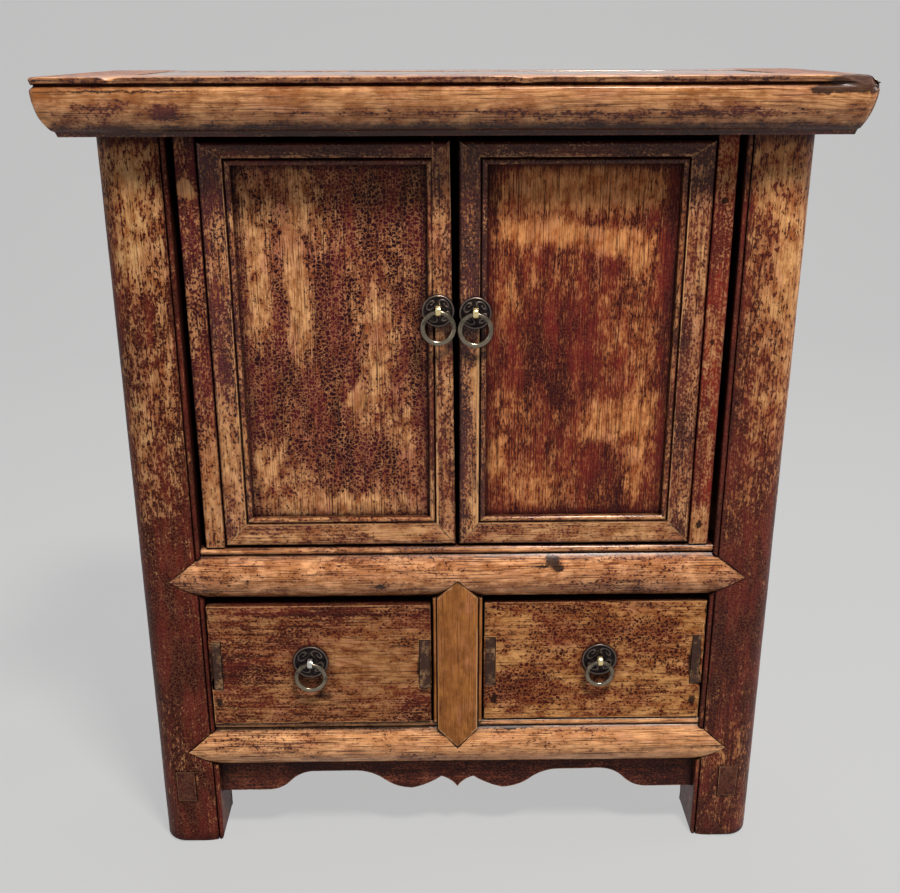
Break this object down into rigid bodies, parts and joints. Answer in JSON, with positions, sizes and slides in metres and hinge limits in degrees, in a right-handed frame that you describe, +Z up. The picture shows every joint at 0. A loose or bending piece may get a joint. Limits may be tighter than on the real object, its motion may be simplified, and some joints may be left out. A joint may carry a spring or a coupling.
{
  "type": "kang cabinet",
  "caption": "Free-standing wooden kang cabinet with a moulded overhanging top, round-fronted legs, framed pivot doors, drawers with ring pulls below and a scalloped apron.",
  "frame": {"origin": "on the floor under the middle of the top's box", "axes": "+Z up, +X to the right of someone facing the doors, the front facing -Y"},
  "size_m": [0.782, 0.31, 0.871],
  "materials": {
    "top_wood": "worn lacquer: pale ochre wood with remains of maroon lacquer and dark grime",
    "leg_wood": "worn lacquer: orange-brown wood with maroon remains along the grain",
    "rear_leg_wood": "bare brown wood, darkened",
    "rail_wood": "worn lacquer: orange-brown wood, dark below",
    "side_wood": "dark worn maroon lacquer over brown wood",
    "back_wood": "bare brown boards, darkened",
    "inner_wood": "bare wood, not finished",
    "divider_wood": "smooth worn orange-brown wood",
    "apron_wood": "dark brown lacquer remains",
    "left_door_frame_wood": "worn maroon lacquer with ochre wood along its edges",
    "right_door_frame_wood": "worn maroon lacquer with ochre wood along its edges",
    "left_door_panel_wood": "crackled maroon lacquer, mostly worn to ochre wood",
    "right_door_panel_wood": "crackled maroon lacquer, worn to ochre wood low down",
    "batten_wood": "worn maroon lacquer",
    "drawer_front_wood": "worn maroon lacquer over orange-brown wood",
    "drawer_box_wood": "bare wood, not finished",
    "plate_bronze": "dark aged metal, engraved, bright on its rim",
    "ring_bronze": "aged metal, rubbed bright where it is handled",
    "staple_brass": "bright brass",
    "staple_steel": "grey steel, worn"
  },
  "bodies": {
    "carcase": {"back_panels": "back_wood", "cabinet_floor": "inner_wood", "centre_guide": "inner_wood", "drawer_divider": "divider_wood", "drawer_runners": "inner_wood", "front_apron": "apron_wood", "front_left_leg": "leg_wood", "front_right_leg": "leg_wood", "left_side_panels": "side_wood", "lower_front_rail": "rail_wood", "lower_left_rail": "side_wood", "lower_rear_rail": "back_wood", "lower_right_rail": "side_wood", "middle_left_rail": "side_wood", "middle_rear_rail": "back_wood", "middle_right_rail": "side_wood", "rear_left_leg": "rear_leg_wood", "rear_right_leg": "rear_leg_wood", "right_side_panels": "side_wood", "sill_rail": "rail_wood", "top_battens": "inner_wood", "top_front_rail": "top_wood", "top_left_end": "top_wood", "top_panel": "top_wood", "top_rear_rail": "top_wood", "top_right_end": "top_wood"},
    "left_door": {"left_door_bottom_rail": "left_door_frame_wood", "left_door_meeting_stile": "left_door_frame_wood", "left_door_outer_stile": "left_door_frame_wood", "left_door_panel": "left_door_panel_wood", "left_door_pivot_batten": "batten_wood", "left_door_pull_plate": "plate_bronze", "left_door_pull_staple": "staple_brass", "left_door_top_rail": "left_door_frame_wood"},
    "left_door_ring": {"left_door_pull_ring": "ring_bronze"},
    "left_drawer": {"left_drawer_back": "drawer_box_wood", "left_drawer_bottom": "drawer_box_wood", "left_drawer_front": "drawer_front_wood", "left_drawer_pull_plate": "plate_bronze", "left_drawer_pull_staple": "staple_steel", "left_drawer_sides": "drawer_box_wood"},
    "left_drawer_ring": {"left_drawer_pull_ring": "ring_bronze"},
    "right_door": {"right_door_bottom_rail": "right_door_frame_wood", "right_door_meeting_stile": "right_door_frame_wood", "right_door_outer_stile": "right_door_frame_wood", "right_door_panel": "right_door_panel_wood", "right_door_pivot_batten": "batten_wood", "right_door_pull_plate": "plate_bronze", "right_door_pull_staple": "staple_brass", "right_door_top_rail": "right_door_frame_wood"},
    "right_door_ring": {"right_door_pull_ring": "ring_bronze"},
    "right_drawer": {"right_drawer_back": "drawer_box_wood", "right_drawer_bottom": "drawer_box_wood", "right_drawer_front": "drawer_front_wood", "right_drawer_pull_plate": "plate_bronze", "right_drawer_pull_staple": "staple_brass", "right_drawer_sides": "drawer_box_wood"},
    "right_drawer_ring": {"right_drawer_pull_ring": "ring_bronze"}
  },
  "joints": [
    {"name": "left_door_pivot", "type": "hinge", "parent": "carcase", "child": "left_door", "pos_m": [-0.26325, -0.095, 0.6], "axis": [0, 0, -1], "range_deg": [0, 100]},
    {"name": "left_drawer_slide", "type": "slide", "parent": "carcase", "child": "left_drawer", "axis": [0, -1, 0], "range_m": [0, 0.165]},
    {"name": "right_door_pivot", "type": "hinge", "parent": "carcase", "child": "right_door", "pos_m": [0.26325, -0.095, 0.6], "axis": [0, 0, 1], "range_deg": [0, 100]},
    {"name": "right_drawer_slide", "type": "slide", "parent": "carcase", "child": "right_drawer", "axis": [0, -1, 0], "range_m": [0, 0.165]},
    {"name": "left_door_ring_swing", "type": "hinge", "parent": "left_door", "child": "left_door_ring", "pos_m": [-0.0195, -0.1135, 0.644], "axis": [-1, 0, 0], "range_deg": [-5, 170]},
    {"name": "right_door_ring_swing", "type": "hinge", "parent": "right_door", "child": "right_door_ring", "pos_m": [0.0183, -0.1135, 0.6415], "axis": [-1, 0, 0], "range_deg": [-5, 170]},
    {"name": "left_drawer_ring_swing", "type": "hinge", "parent": "left_drawer", "child": "left_drawer_ring", "pos_m": [-0.1654, -0.1185, 0.24375], "axis": [-1, 0, 0], "range_deg": [-5, 170]},
    {"name": "right_drawer_ring_swing", "type": "hinge", "parent": "right_drawer", "child": "right_drawer_ring", "pos_m": [0.1609, -0.1135, 0.24075], "axis": [-1, 0, 0], "range_deg": [-5, 170]}
  ]
}
